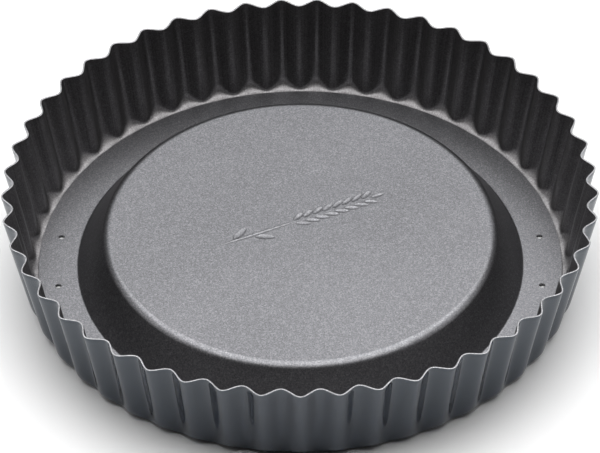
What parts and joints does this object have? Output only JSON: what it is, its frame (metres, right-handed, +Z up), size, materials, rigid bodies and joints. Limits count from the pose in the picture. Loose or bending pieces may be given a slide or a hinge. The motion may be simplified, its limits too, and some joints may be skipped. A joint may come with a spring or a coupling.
{
  "type": "loose-base tart pan",
  "caption": "Round fluted tart pan in coated sheet steel, with a narrow ledge inside and a loose lift-out base whose centre is pressed up into a flat plateau.",
  "frame": {"origin": "on the pan's axis, in the plane it stands on", "axes": "+Z up along the pan's axis, -Y towards the viewer, the small holes lie either side of the X axis"},
  "size_m": [0.2799, 0.2798, 0.0482],
  "materials": {
    "ring_coating": "dark slate non-stick coating: glossy outside, matt charcoal inside, bare steel along the cut rim",
    "base_coating": "grey speckled non-stick coating, semi-gloss with fine metallic flakes"
  },
  "bodies": {
    "ring": {"fluted_ring": "ring_coating"},
    "base": {"loose_base": "base_coating"}
  },
  "joints": [
    {"name": "base_lift", "type": "slide", "parent": "ring", "child": "base", "axis": [0, 0, 1], "range_m": [0, 0.07]}
  ]
}
